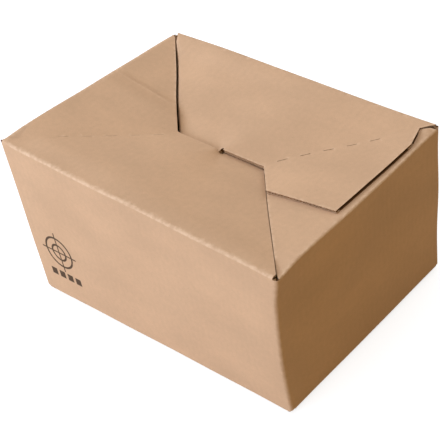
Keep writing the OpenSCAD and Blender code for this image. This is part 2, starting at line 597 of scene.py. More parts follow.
def inside_loop(points: Points, loop: Points) -> Points:
    """Whether points lie inside a closed loop.

    Args:
        points: Points on the flat.
        loop: The loop's corners.

    Returns:
        True for each point inside.
    """
    x, y = points[:, 0][:, None], points[:, 1][:, None]
    x0, y0 = loop[:, 0], loop[:, 1]
    x1, y1 = np.roll(x0, -1), np.roll(y0, -1)
    spans = (y0 > y) != (y1 > y)
    with np.errstate(divide="ignore", invalid="ignore"):
        crossing = x0 + (y - y0) * (x1 - x0) / (y1 - y0)
    return (np.sum(spans & (x < crossing), axis=1) % 2).astype(bool)


def distance_to_loop(points: Points, loop: Points) -> Points:
    """Distance from each point to the nearest edge of a closed loop.

    Args:
        points: Points on the flat.
        loop: The loop's corners.

    Returns:
        The distances.
    """
    start, along = loop, np.roll(loop, -1, axis=0) - loop
    length = np.maximum(np.sum(along * along, axis=1), TINY**2)
    best = np.full(len(points), np.inf)
    batch = 2000
    for first in range(0, len(points), batch):
        part = points[first:first + batch, None, :] - start
        share = np.clip(np.sum(part * along, axis=2) / length, 0.0, 1.0)
        gap = part - share[:, :, None] * along
        best[first:first + batch] = np.sqrt(np.min(np.sum(gap * gap, axis=2), axis=1))
    return best


def mitres(loop: Points) -> Points:
    """Vectors that move each point of a counter-clockwise loop inward by one, square to both edges.

    Args:
        loop: The loop's corners.

    Returns:
        One vector for each corner.
    """
    least = 0.35
    ahead = np.roll(loop, -1, axis=0) - loop
    ahead /= np.linalg.norm(ahead, axis=1, keepdims=True)
    left = np.column_stack([-ahead[:, 1], ahead[:, 0]])
    before = np.roll(left, 1, axis=0)
    spread = np.maximum(1.0 + np.sum(left * before, axis=1), least)
    return (left + before) / spread[:, None]


def corners_of(outline: Sequence[Corner]) -> tuple[Points, Points]:
    """The places of an outline's corners, and the lengths of the edges that follow them."""
    corners = np.array([(c.s, c.v) for c in outline])
    return corners, np.linalg.norm(np.roll(corners, -1, axis=0) - corners, axis=1)


def crossed(first: Iterable[float], second: Iterable[float]) -> Points:
    """All pairs of a place from the first list and one from the second."""
    return np.array([(x, y) for x in first for y in second]).reshape(-1, 2)


class Paper(Enum):
    """The faces of the board, each with its own finish. The last one is painted shade: near-black paint on
    rims, slits and deep pockets where shade falls between the liners.
    """

    OUTSIDE = 0
    INSIDE = 1
    # Cut edges: darker than the outside, partly the raw edge's own tone and partly painted shade.
    CUT = 2
    # Painted shade: near-black paint where shade falls between the liners.
    PAINTED_SHADE = 3


@dataclass
class SheetBuilder:
    """Collects the panels of the sheet into one mesh of board, with fluted cut edges.

    Distances are in millimetres. The clears keep a panel's inner points off its outline, its cuts and the
    rows and columns at which it bends. An edge counts as crossing the flutes, or as crossing them steeply,
    when it runs across them for more than that share of its length.
    """

    board: Board
    line_step: float = 6.0
    line_clear: float = 0.25
    edge_rows: tuple[float, ...] = (0.9, 2.6)
    edge_clear: float = 0.85
    grid_clear: float = 3.5
    grid_line_clear: float = 1.5
    cut_clear: float = 0.2
    merge: float = 1e-5
    # Rubbing and painted highlight beside cut edges: how far it reaches, its share, and the medium's.
    rub_highlight_reach: float = 1.1
    rub_highlight_share: float = 0.7
    medium_wear_highlight: float = 0.4
    medium_overlap: float = 0.3
    medium_step: float = 0.72
    medium_longest: float = 5.0
    crosses: float = 0.3
    crosses_steeply: float = 0.6
    groove_levels: tuple[float, ...] = (0.0, 0.3, 0.6, 1.0)
    points: list[Points] = field(default_factory=list)
    blank: list[Points] = field(default_factory=list)
    wear_highlight: list[Points] = field(default_factory=list)
    faces: list[tuple[int, ...]] = field(default_factory=list)
    papers: list[int] = field(default_factory=list)
    panels: list[Panel] = field(default_factory=list)
    count: int = 0
    liner_count: int = 0

    def _add(self, surface: WallStrip | FlapFold, flat: Points, depth: Points, wear_highlight: float) -> int:
        """Adds points at flat places and depths below the outer face.

        Args:
            surface: The surface that the panel lies on.
            flat: Flat places.
            depth: Depths below the outer face.
            wear_highlight: How rubbed the board is there and how much painted highlight it gets, from 0 to 1.

        Returns:
            The index of the first new point.
        """
        points, normals = surface.at(flat)
        first = self.count
        self.points.append(points - normals * (depth * surface.thinning(flat))[:, None])
        self.blank.append(surface.blank(flat))
        self.wear_highlight.append(np.maximum(surface.rub_and_highlight(flat), wear_highlight))
        self.count += len(flat)
        return first

    def _face(self, corners: Iterable[int], paper: Paper) -> None:
        """Adds a face of that paper."""
        self.faces.append(tuple(corners))
        self.papers.append(paper.value)

    def add_panel(self, panel: Panel) -> None:
        """Adds a panel: both liners, and the rim along its cut edges.

        Args:
            panel: The panel.
        """
        loop, joined, shade_painted, room = self._sample_outline(panel.outline)
        inward = mitres(loop)
        seeds = self._seeds(panel, loop, inward)
        flat, triangles = self._triangulate([loop, *panel.cuts], seeds)
        outer = self._add(panel.surface, flat, np.zeros(len(flat)), 0.0)
        inner = self._add(panel.surface, flat, np.full(len(flat), self.board.thickness), 0.0)
        self._rub_and_highlight_edges(panel, self.wear_highlight[-2], flat, loop, ~(joined & np.roll(joined, 1)))
        for a, b, c in triangles:
            self._face((outer + a, outer + b, outer + c), Paper.OUTSIDE)
            self._face((inner + a, inner + c, inner + b), Paper.INSIDE)
        self._rim(panel.surface, loop, inward, room, joined, shade_painted, outer, inner)
        start = len(loop)
        for cut in panel.cuts:
            shut, none = np.zeros(len(cut)), np.zeros(len(cut), bool)
            self._rim(panel.surface, cut, np.zeros_like(cut), shut, none, none, outer + start, inner + start)
            start += len(cut)
        self.panels.append(panel)
        self.liner_count = self.count

    def _rub_and_highlight_edges(self, panel: Panel, worn_highlight: Points, flat: Points, loop: Points, free: Points) -> None:
        """Pales a panel's outer face along its free edges and its cuts: rubbing and painted highlight.

        Args:
            panel: The panel.
            worn_highlight: Its rubbing and painted highlight, which is changed: the outline's points, then
                the cuts', then the inner ones.
            flat: Its flat points, in the same order.
            loop: The outline's points.
            free: Whether each of them is on a cut edge.
        """
        first_inner = len(loop) + sum(len(cut) for cut in panel.cuts)
        worn_highlight[:len(loop)][free] = panel.edge_wear_highlight
        worn_highlight[len(loop):first_inner] = 1.0
        inner = flat[first_inner:]
        near = np.argmin(np.sum((inner[:, None, :] - loop) ** 2, axis=2), axis=1)
        beside = free[near] & (distance_to_loop(inner, loop) < self.rub_highlight_reach)
        rubbed = np.where(beside, self.rub_highlight_share * panel.edge_wear_highlight, 0.0)
        worn_highlight[first_inner:] = np.maximum(worn_highlight[first_inner:], rubbed)

    def add_medium(self) -> None:
        """Adds the fluted medium behind the cut edges of all panels. It comes after the last panel."""
        for panel in self.panels:
            corners, lengths = corners_of(panel.outline)
            depths, inward = self._corner_room(panel.outline, lengths), mitres(corners)
            for i, corner in enumerate(panel.outline):
                ends = [i, (i + 1) % len(corners)]
                if not corner.joined and lengths[i] >= 2.0 * self.board.groove:
                    self._medium_strip(panel.surface, corners[ends], inward[ends], depths[ends])

    def _sample_outline(self, outline: Sequence[Corner]) -> tuple[Points, Points, Points, Points]:
        """Samples an outline.

        Args:
            outline: The corners, counter-clockwise.

        Returns:
            The points, whether the edge after each is joined, whether its rim is painted near-black as
            painted shade, and the room for a pocket at each.
        """
        corners, lengths = corners_of(outline)
        points, joined, shade_painted, room = [], [], [], []
        depths = self._corner_room(outline, lengths)
        for i, corner in enumerate(outline):
            ends = [i, (i + 1) % len(outline)]
            part = subdivide(*corners[ends], corner.step)
            points.append(part)
            joined.append(np.full(len(part), corner.joined))
            shade_painted.append(np.full(len(part), corner.shade_painted))
            room.append(self._room_along(corners[ends], depths[ends], np.arange(len(part)) / len(part)))
        return np.concatenate(points), np.concatenate(joined), np.concatenate(shade_painted), np.concatenate(room)

    def _corner_room(self, outline: Sequence[Corner], lengths: Points) -> Points:
        """Depth of the pocket at each corner: none beside a joined edge, and little where it is shut.

        Args:
            outline: The corners.
            lengths: Lengths of the edges that follow them.

        Returns:
            The depths.
        """
        shorter = np.minimum(lengths, np.roll(lengths, 1))
        room = np.minimum(self.board.pocket, self.board.pocket_share * shorter)
        for i, corner in enumerate(outline):
            if corner.joined or outline[i - 1].joined:
                room[i] = 0.0
            elif corner.shut:
                room[i] = self.board.shut_pocket
        return room

    def _room_along(self, ends: Points, depths: Points, share: Points) -> Points:
        """Depth of the pocket along an edge: a deep groove where a long edge runs with the flutes.

        Args:
            ends: The edge's two ends.
            depths: The pocket's depth at each.
            share: How far along the edge each point lies, from 0 to 1.

        Returns:
            The depth at each point.
        """
        board = self.board
        length = float(np.linalg.norm(ends[1] - ends[0]))
        even = depths[0] * (1.0 - share) + depths[1] * share
        crossing = abs(ends[1][0] - ends[0][0]) / length
        if crossing > self.crosses or length < 3.0 * board.groove_ends:
            return even
        inside = ease(np.minimum(share, 1.0 - share) * length / board.groove_ends)
        return even + (board.groove - even) * inside * (even > 0.0)

    def _seeds(self, panel: Panel, loop: Points, inward: Points) -> Points:
        """Inner points of a panel: rows and columns at which it bends, two rows along its edges and a grid.

        Args:
            panel: The panel.
            loop: The points of its outline.
            inward: Vectors that move those inward by one.

        Returns:
            The points that lie in the panel, clear of its outline and its cuts.
        """
        low, high = loop.min(axis=0), loop.max(axis=0)
        spread = [np.arange(low[i], high[i], self.line_step) for i in (0, 1)]
        groups = [
            (crossed(spread[0], panel.rows), self.line_clear),
            (crossed(panel.columns, spread[1]), self.line_clear),
        ]
        groups += [(loop + inward * offset, offset * self.edge_clear) for offset in self.edge_rows]
        groups.append((np.array(panel.extra).reshape(-1, 2), self.line_clear))
        grid = crossed(*(np.arange(low[i] + panel.spacing / 2.0, high[i], panel.spacing) for i in (0, 1)))
        for axis, lines in ((1, panel.rows), (0, panel.columns)):
            if lines and len(grid):
                grid = grid[np.min(np.abs(grid[:, axis][:, None] - lines), axis=1) > self.grid_line_clear]
        groups.append((grid, self.grid_clear))
        kept = []
        for points, clear in groups:
            points = points[inside_loop(points, loop)]
            points = points[distance_to_loop(points, loop) > clear]
            for cut in panel.cuts:
                points = points[~inside_loop(points, cut)]
                points = points[distance_to_loop(points, cut) > self.cut_clear]
            kept.append(points)
        return np.concatenate(kept)

    def _triangulate(self, rings: list[Points], seeds: Points) -> tuple[Points, list[tuple[int, ...]]]:
        """Fills a panel with triangles.

        Args:
            rings: The outline, then the cuts.
            seeds: Inner points.

        Returns:
            The flat points, rings first, and the triangles.
        """
        edges, start = [], 0
        for ring in rings:
            edges += [(start + i, start + (i + 1) % len(ring)) for i in range(len(ring))]
            start += len(ring)
        flat = np.concatenate([*rings, seeds])
        outline = list(range(len(rings[0])))
        made = delaunay_2d_cdt([Vector(p) for p in flat.tolist()], edges, [outline], 1, self.merge)
        points, triangles, origins = made[0], made[2], made[3]
        out = np.array([(p.x, p.y) for p in points])
        first_of = {old: new for new, olds in enumerate(origins) for old in olds}
        order = np.full(len(out), -1)
        result = []
        for old in range(len(flat)):
            new = first_of.get(old)
            if new is None or order[new] >= 0:
                if old < start:
                    raise ValueError(f"outline point {old} was merged")
                continue
            order[new] = len(result)
            result.append(new)
        corners = np.array([tuple(t) for t in triangles])
        middle = out[corners].mean(axis=1)
        keep = np.ones(len(corners), bool)
        for ring in rings[1:]:
            keep &= ~inside_loop(middle, ring)
        return out[result], [tuple(order[list(t)]) for t in corners[keep]]

    def _rim(
        self, surface: WallStrip | FlapFold, loop: Points, inward: Points, room: Points, joined: Points,
        shade_painted: Points, outer: int, inner: int,
    ) -> None:
        """Closes the cut edges of a loop, with a pocket between the liners for the medium.

        Args:
            surface: The surface that the panel lies on.
            loop: The loop's flat points.
            inward: Vectors that move them inward by one.
            room: The pocket's depth at each.
            joined: Whether the edge after each is joined, so that it gets no rim.
            shade_painted: Whether the edge after each is painted near-black all through, as painted shade.
            outer: Index of the loop's first point on the outer face.
            inner: Index of the loop's first point on the inner face.
        """
        board, count = self.board, len(loop)
        deep = loop + inward * room[:, None]
        low, high = np.full(count, board.liner), np.full(count, board.thickness - board.liner)
        # The liners' cut edges get the full pale paint: rubbing and painted highlight.
        rows = [
            outer,
            self._add(surface, loop, low, 1.0),
            self._add(surface, deep, low, 0.0),
            self._add(surface, deep, high, 0.0),
            self._add(surface, loop, high, 1.0),
            inner,
        ]
        for i in np.flatnonzero(~joined):
            j = (i + 1) % count
            for step, (above, below) in enumerate(zip(rows, rows[1:])):
                # Painted shade: flagged rims, and the inner rows of deep pockets, get the near-black paint.
                dark = shade_painted[i] or (step > 0 and min(room[i], room[j]) > board.shade_paint_from)
                self._face((above + i, below + i, below + j, above + j), Paper.PAINTED_SHADE if dark else Paper.CUT)

    def _medium_strip(
        self, surface: WallStrip | FlapFold, ends: Points, inward: Points, depths: Points
    ) -> None:
        """Adds one strip of the medium, along a straight cut edge.

        Args:
            surface: The surface that the panel lies on.
            ends: The edge's two ends.
            inward: Vectors that move them inward by one.
            depths: The pocket's depth at each.
        """
        board = self.board
        length = float(np.linalg.norm(ends[1] - ends[0]))
        crossing = abs(ends[1][0] - ends[0][0]) / length
        step = min(self.medium_longest, self.medium_step / max(crossing, NEAR))
        set_back = board.set_back if crossing > self.crosses else board.groove_set_back
        count = max(2, math.ceil(length / step) + 1)
        share = np.linspace(0.0, 1.0, count)[:, None]
        base = ends[0] + (ends[1] - ends[0]) * share
        sway = inward[0] * (1.0 - share) + inward[1] * share
        depth = self._room_along(ends, depths, share) + self.medium_overlap
        rows = []
        for level in (0.0, 1.0) if crossing > self.crosses_steeply else self.groove_levels:
            flat = base + sway * np.maximum(set_back * (1.0 - level) + depth * level, 0.0)
            middle = board.wave(surface.blank(flat)[:, 0])
            for side in (-0.5, 0.5):
                rows.append(self._add(surface, flat, middle + side * board.medium, self.medium_wear_highlight))
        ring = rows[0::2] + rows[-1::-2]
        for near, far in zip(ring, ring[1:] + ring[:1]):
            for k in range(count - 1):
                self._face((near + k, near + k + 1, far + k + 1, far + k), Paper.CUT)
        self._face(ring, Paper.CUT)
        self._face([start + count - 1 for start in reversed(ring)], Paper.CUT)


@dataclass(frozen=True)
class HandFold:
    """How far a hand-folded carton strays from true, in millimetres.

    Its corners move, its walls belly, one upright edge bows, the front fold sags, the middle of the top rises
    and the board ripples. What moves the walls or the top alone fades away from them with the fade power.
    """

    size: CartonSize
    belly: float = 0.9
    fade_power: int = 6
    bow: float = 4.0
    bow_width: float = 42.0
    bow_top: float = 0.18
    bow_flat: float = 0.6
    bow_heading: tuple[float, float] = (-0.69, -0.72)
    front_sag: float = 3.8
    sag_width: float = 30.0
    sag_left: float = 0.5
    sag_fade: float = 0.2
    ripple: float = 0.22
    ripple_count: int = 7
    ripple_lengths: tuple[float, float] = (55.0, 130.0)
    ripple_sideways: float = 0.6
    seed: int = 11
    middle: tuple[float, float, float] = (0.0, 1.0, 4.9)
    corners: tuple[tuple[tuple[int, int, int], tuple[float, float, float]], ...] = (
        ((-1, -1, 1), (-7.0, -0.6, 5.3)),
        ((-1, 1, 1), (-0.7, -0.1, 0.3)),
        ((1, 1, 1), (-0.7, -1.7, -2.6)),
        ((1, -1, 1), (1.8, -3.4, -2.4)),
        ((-1, -1, -1), (10.0, -1.8, 0.0)),
        ((1, -1, -1), (-0.7, 4.4, 0.0)),
        ((1, 1, -1), (-0.7, -1.9, 0.0)),
        ((-1, 1, -1), (0.2, 0.6, 0.0)),
    )

    def move(self, points: Points) -> Points:
        """Moves points of the true carton to where they lie on the folded one.

        Args:
            points: Points of the true carton.

        Returns:
            The moved points.
        """
        half_x, half_y = self.size.half
        cx = np.clip(points[:, 0] / half_x, -1.0, 1.0)
        cy = np.clip(points[:, 1] / half_y, -1.0, 1.0)
        rise = np.clip(points[:, 2] / self.size.height, 0.0, 1.0)
        cz = 2.0 * rise - 1.0
        moved = points.copy()
        for signs, offset in self.corners:
            share = (1.0 + signs[0] * cx) * (1.0 + signs[1] * cy) * (1.0 + signs[2] * cz) / 8.0
            moved += share[:, None] * np.array(offset)
        crown = 1.0 - cz**2
        moved[:, 0] += self.belly * crown * (1.0 - cy**2) * np.sign(cx) * np.abs(cx) ** self.fade_power
        moved[:, 1] += self.belly * crown * (1.0 - cx**2) * np.sign(cy) * np.abs(cy) ** self.fade_power
        profile = crown**self.bow_flat * ease((1.0 - rise) / self.bow_top)
        from_edge = (points[:, 0] - half_x) ** 2 + (points[:, 1] + half_y) ** 2
        near = np.exp(-from_edge / (2.0 * self.bow_width**2))
        moved[:, :2] += (self.bow * profile * near)[:, None] * np.array(self.bow_heading)
        at_top = rise**self.fade_power
        sag = self.front_sag * (1.0 - self.sag_left * ease((self.sag_fade - 1.0 - cx) / self.sag_fade))
        moved[:, 2] -= sag * ease(1.0 - (points[:, 1] + half_y) / self.sag_width) * at_top
        bulge = ((1.0 - cx**2) * (1.0 - cy**2)) ** 2 * at_top
        moved += bulge[:, None] * np.array(self.middle)
        self._add_ripple(moved, points, rise)
        moved[:, 2] = np.maximum(moved[:, 2], 0.0)
        return moved

    def _add_ripple(self, moved: Points, points: Points, rise: Points) -> None:
        """Adds a few long waves that cross the carton at random.

        Args:
            moved: The moved points, which are changed.
            points: The same points of the true carton.
            rise: Their heights, from 0 to 1.
        """
        rng = np.random.default_rng(self.seed)
        for _ in range(self.ripple_count):
            wave = rng.normal(size=3)
            wave *= 2.0 * math.pi / (rng.uniform(*self.ripple_lengths) * np.linalg.norm(wave))
            push = rng.normal(size=3) * self.ripple
            sway = np.sin(points @ wave + rng.uniform(0.0, 2.0 * math.pi))
            moved[:, :2] += sway[:, None] * push[:2] * self.ripple_sideways
            moved[:, 2] += sway * push[2] * rise


@dataclass(frozen=True)
class LongTrim:
    """What sets one long flap of the lock bottom apart from the other, in millimetres.

    The gap lies beside its free edge, and near the fold it shifts towards the end wall. Where the end gap is
    smaller, a lip of the board turns down in the gap. The notch is shifted along the wall, and the edge along
    the middle may stop short of it.
    """

    gap: float
    end_gap: float
    gap_shift: float
    notch_depth: float
    notch_shift: float
    middle_short: float
    cut_width: float
    # How much rubbing and painted highlight the cut edges get.
    edge_wear_highlight: float


@dataclass
class LockBottom:
    """The automatic bottom, at the top here: long flaps whose halves lock, with tabs glued to short flaps.

    Sizes are in millimetres. Distances from a wall are level ones, and s runs along a wall from its middle.
    """

    size: CartonSize
    # How deep the middle lies, and how far from the end walls the short flaps are as deep.
    dish: float = 20.0
    reach: float = 107.0
    # The tongue past the middle, the relief notch, and the place where the flaps lock, past the crease's end.
    tongue: float = 32.0
    tongue_bevel: float = 9.0
    relief: float = 3.2
    lock_reach: float = 6.0
    lock_step: float = 3.0
    underlap: float = 0.8
    # How a long flap twists: down by one board past its middle, and a little further to its free edge.
    ply_gap: float = 0.15
    twist_spread: float = 0.8
    crease_soft: float = 0.4
    edge_drop: float = 0.3
    settle_end: float = 30.0
    start_run: float = 4.0
    # The small hole at the front fold's end, and the lip that turns down.
    hole_end: float = 5.2
    lip_start: float = 7.0
    lip_drop: float = 4.4
    # The glue tab: its far edge past the middle, its corners' clearances from the end wall, and its tip.
    tab_edge: float = 28.0
    tab_clear: float = 8.3
    tab_corner: float = 5.5
    tab_corner_run: float = 36.6
    tip_from_end: float = 13.0
    tip_from_long: float = 11.8
    # The short flap's lift under the back tab's tip, and the press along the front tab's far edge.
    tip_lift: float = 2.0
    tip_blend: float = 9.0
    far_press: float = 1.6
    press_run: float = 16.0
    # The short flap's outline, trimmed beside the long flaps.
    short_trim: float = 3.0
    short_corner: float = 10.5
    short_start: float = 6.0
    short_end_cut: float = 0.6
    short_end_share: float = 0.7
    # The cuts in the crease.
    cut_length: float = 9.0
    cut_pitch: float = 20.5
    cut_start: float = 16.6
    # Where the mesh gets more points, and how fine its grids are.
    crease_rows: tuple[float, ...] = (-3.0, -1.6, -0.7, 0.0, 0.7, 1.6, 3.0)
    lip_rows: tuple[float, ...] = (-0.4, 0.3, 1.0, 1.7)
    past_long_fold: float = 1.0
    past_short_fold: float = 0.9
    long_grid: float = 5.0
    short_grid: float = 9.0
    front: LongTrim = LongTrim(
        gap=0.7, end_gap=0.7, gap_shift=1.1, notch_depth=0.8, notch_shift=2.0, middle_short=0.0,
        cut_width=0.3, edge_wear_highlight=0.2,
    )
    back: LongTrim = LongTrim(
        gap=3.5, end_gap=0.4, gap_shift=0.0, notch_depth=2.2, notch_shift=-2.0, middle_short=1.7,
        cut_width=0.8, edge_wear_highlight=1.0,
    )

    def __post_init__(self) -> None:
        """Works out the slopes, the ends of the creases and the points where the flaps lock."""
        size = self.size
        half_y = size.half[1]
        self.long_tilt = math.atan(self.dish / (half_y - size.fold))
        self.end_tilt = math.atan(self.dish / (self.reach - size.fold))
        self.crease_end = -float(self.crease(half_y))
        self.lock = self.crease_end + self.lock_reach

    def slope(self, from_wall: Lengths) -> Lengths:
        """Height of a long flap's outer face before it twists.

        Args:
            from_wall: Distances from the wall's face.

        Returns:
            The heights.
        """
        radius = self.size.long_fold
        top = self.size.height - radius * (1.0 - math.cos(self.long_tilt))
        return top - (from_wall - fold_end(radius, self.long_tilt)) * math.tan(self.long_tilt)

    def tab(self, s: Lengths) -> Lengths:
        """Height of a glue tab's outer face: it lies on the short flap, one board up.

        Args:
            s: Places along the long wall.

        Returns:
            The heights.
        """
        size = self.size
        radius = size.fold + size.board.thickness
        start = -size.half[0] + size.fold + radius * math.sin(self.end_tilt)
        top = size.end_top - size.fold + radius * math.cos(self.end_tilt)
        return top - (s - start) * math.tan(self.end_tilt)

    def crease(self, from_wall: Lengths) -> Lengths:
        """Place of the diagonal crease between a long flap and its tab."""
        return (self.tab(0.0) - self.slope(from_wall)) / math.tan(self.end_tilt)

    def free_edge(self, from_wall: Lengths) -> Lengths:
        """Place of the free edge, straight from a corner to the point where the flaps lock."""
        half_x, half_y = self.size.half
        return half_x - (half_x - self.lock) * np.minimum(from_wall, half_y) / half_y

    def twist_half(self, from_wall: Points) -> Points:
        """Half of the width over which a long flap twists from its glued half to its free half."""
        return self.relief / 2.0 + self.twist_spread * np.maximum(0.0, self.size.half[1] - from_wall)

    def past_fold(self, from_wall: Points, radius: float, tilt: float) -> Points:
        """Soft step from 0 at a fold's end to 1 a little past it."""
        return ease((from_wall - fold_end(radius, tilt)) / self.start_run)

    def long_shape(self, s: Points, from_wall: Points) -> Points:
        """How far a long flap's outer face lies above its plain slope: its tab rises, its free half drops.

        Args:
            s: Places along the wall.
            from_wall: Distances from the wall's face.

        Returns:
            The heights above the slope.
        """
        size = self.size
        over = self.tab(s) - self.slope(from_wall)
        rise = (over + np.sqrt(over**2 + self.crease_soft**2)) / 2.0
        rise *= self.past_fold(from_wall, size.long_fold, self.long_tilt)
        half = self.twist_half(from_wall)
        past_middle = (size.board.thickness + self.ply_gap) * ease((s / half + 1.0) / 2.0)
        span = np.maximum(self.free_edge(from_wall) - half, 1.0)
        past_edge = self.edge_drop * ease((s - half) / span)
        settle = ease((from_wall - 2.0 * size.fold) / (self.settle_end - 2.0 * size.fold))
        return rise - settle * (past_middle + past_edge)

    def front_shape(self, s: Points, from_wall: Points) -> Points:
        """The shape of the front long flap, whose tab is pressed thin along its far edge."""
        return self.long_shape(s, from_wall) - self.front_press(s, from_wall)

    def front_press(self, s: Points, from_wall: Points) -> Points:
        """How far the front glue tab's outer face is pressed down along its far edge."""
        far = ease((from_wall - self.size.half[1] - self.tab_edge + self.press_run) / self.press_run)
        return self.far_press * far * ease((self.crease(from_wall) - s) / self.press_run)

    def back_shape(self, s: Points, from_wall: Points) -> Points:
        """The shape of the back long flap, whose free edge turns down beside the short flap.

        Args:
            s: Places along the wall.
            from_wall: Distances from the wall's face.

        Returns:
            The heights above the slope.
        """
        trim = self.back
        past = ease((s - self.free_edge(from_wall) + trim.gap) / (trim.gap - trim.end_gap))
        lip = self.lip_drop * past * ease((from_wall - self.lip_start) / self.start_run)
        return self.long_shape(s, from_wall) - lip

    def back_press(self, s: Points, from_wall: Points) -> Points:
        """How much thinner the back long flap is at its glue tab's tip."""
        return self.tip_lift * self.at_tip(from_wall, self.size.half[0] + s)

    def right_rise(self, s: Points, from_wall: Points) -> Points:
        """How far the right short flap's outer face rises under the tip of the back glue tab."""
        lift = self.tip_lift * self.at_tip(self.size.half[1] - s, from_wall)
        return lift * self.past_fold(from_wall, self.size.end_fold, self.end_tilt)

    def at_tip(self, from_long: Points, from_end: Points) -> Points:
        """How near a glue tab's tip is, from 0 to 1, by the distances from the long wall and the end wall."""
        beside = ease((self.tip_from_long + self.tip_blend - from_long) / self.tip_blend)
        return beside * ease((self.tip_from_end + self.tip_blend - from_end) / self.tip_blend)

    def panels(self, strip: WallStrip) -> list[Panel]:
        """The four flaps of the bottom."""
        long_panels = [self._long_panel(wall, strip) for wall in (Wall.FRONT, Wall.BACK)]
        return long_panels + [self._short_panel(wall, strip) for wall in (Wall.LEFT, Wall.RIGHT)]

    def _long_panel(self, wall: Wall, strip: WallStrip) -> Panel:
        """A long flap with its glue tab and tongue.

        Args:
            wall: The long wall that it folds from.
            strip: The strip of walls.

        Returns:
            The panel.
        """
        size, is_front = self.size, wall is Wall.FRONT
        trim = self.front if is_front else self.back
        flap = FlapFold(
            size, wall, strip.starts[wall], size.hinge(wall), size.long_fold, self.long_tilt,
            shape=self.front_shape if is_front else self.back_shape,
            pressed=self.front_press if is_front else self.back_press,
        )
        outline = self._free_side(flap, trim) + self._middle_side(flap, trim) + self._tab_side(flap)
        extra = self._crease_points(flap) + self._middle_points(flap)
        if trim.end_gap < trim.gap:
            extra += self._lip_points(flap, trim)
        return Panel(
            f"long flap, {wall.name.lower()}", flap, outline, rows=flap.rows(self.past_long_fold),
            spacing=self.long_grid, extra=extra, cuts=self._perforations(flap, trim),
            edge_wear_highlight=trim.edge_wear_highlight,
        )

    def _free_side(self, flap: FlapFold, trim: LongTrim) -> list[Corner]:
        """A long flap's edge at the fold, and its free edge up to the point where the flaps lock.

        Args:
            flap: The flap's fold.
            trim: What sets this long flap apart.

        Returns:
            The corners, from the fold on.
        """
        half_x, half_y = self.size.half
        right = half_x - self.size.fold - trim.gap
        past_fold = right if trim.gap_shift else self.free_edge(flap.arc_end) - trim.gap
        made = [
            Corner(-half_x + self.size.fold, 0.0, joined=True),
            Corner(right, 0.0, step=flap.arc_step),
            Corner(past_fold, flap.arc),
            self._beside_free(flap, self.hole_end, trim.gap - trim.gap_shift),
        ]
        if trim.end_gap < trim.gap:
            made.append(self._beside_free(flap, self.lip_start, trim.gap))
            made.append(self._beside_free(flap, self.lip_start + self.start_run, trim.end_gap))
        return made + [
            self._beside_free(flap, half_y - self.lock_step, trim.end_gap),
            Corner(self.lock + self.underlap, flap.unroll(half_y)),
        ]

    def _beside_free(self, flap: FlapFold, from_wall: float, gap: float) -> Corner:
        """A corner on a long flap's free edge, by its distance from the wall and the gap beside it."""
        return Corner(self.free_edge(from_wall) - gap, flap.unroll(from_wall))

    def _middle_side(self, flap: FlapFold, trim: LongTrim) -> list[Corner]:
        """A long flap's tongue, its relief notch and its edge along the middle.

        Args:
            flap: The flap's fold.
            trim: What sets this long flap apart.

        Returns:
            The corners, from the tongue on.
        """
        half_y, notch = self.size.half[1], self.relief / 2.0
        tongue_end = half_y + self.tongue
        middle = half_y - trim.middle_short
        made = [
            Corner(self.lock - self.tongue_bevel, flap.unroll(tongue_end)),
            Corner(trim.notch_shift + notch + self.tongue_bevel, flap.unroll(tongue_end)),
            Corner(trim.notch_shift + notch, flap.unroll(tongue_end - self.tongue_bevel)),
        ]
        # Painted shade: the notch's rim is painted near-black, all but its last edge.
        for k in range(TURNS + 1):
            angle = math.pi * k / TURNS
            last = k == TURNS
            deep = flap.unroll(middle - trim.notch_depth * math.sin(angle))
            made.append(Corner(trim.notch_shift + notch * math.cos(angle), deep, shade_painted=not last, shut=last))
        return made + [Corner(trim.middle_short - self.lock, flap.unroll(middle), shut=True)]

    def _tab_side(self, flap: FlapFold) -> list[Corner]:
        """The edges of a long flap's glue tab, back to the fold.

        Args:
            flap: The flap's fold.

        Returns:
            The corners, from the tab's far edge on.
        """
        half_x, half_y = self.size.half
        far = flap.unroll(half_y + self.tab_edge)
        return [
            Corner(-self.free_edge(half_y - self.tab_edge), far),
            Corner(-half_x + self.tab_clear, far),
            Corner(-half_x + self.tab_corner, flap.unroll(self.tab_corner_run)),
            Corner(-half_x + self.tip_from_end, flap.unroll(self.tip_from_long)),
            Corner(-half_x + self.size.fold, flap.arc, step=flap.arc_step),
        ]

    def _crease_points(self, flap: FlapFold) -> list[tuple[float, float]]:
        """Points along both sides of a tab's crease.

        Args:
            flap: The flap's fold.

        Returns:
            Places along the wall and distances from the wall's edge.
        """
        first, step = 9.0, 4.0
        return [
            (float(self.crease(a)) + beside, flap.unroll(a))
            for a in np.arange(first, self.size.half[1], step)
            for beside in self.crease_rows
        ]

    def _lip_points(self, flap: FlapFold, trim: LongTrim) -> list[tuple[float, float]]:
        """Points along the free edge that turns down.

        Args:
            flap: The flap's fold.
            trim: What sets this long flap apart.

        Returns:
            Places along the wall and distances from the wall's edge.
        """
        step = 3.0
        return [
            (float(self.free_edge(a)) - trim.gap + past, flap.unroll(a))
            for a in np.arange(self.lip_start, self.size.half[1] - self.lock_step, step)
            for past in self.lip_rows
        ]

    def _middle_points(self, flap: FlapFold) -> list[tuple[float, float]]:
        """Closer points round the notch, where the flap twists most.

        Args:
            flap: The flap's fold.

        Returns:
            Places along the wall and distances from the wall's edge.
        """
        reach, step = 16.0, 1.6
        middle = self.size.half[1]
        return [
            (float(s), flap.unroll(float(a)))
            for s in np.arange(-reach, reach + step, step)
            for a in np.arange(middle - reach, middle + reach, step)
        ]

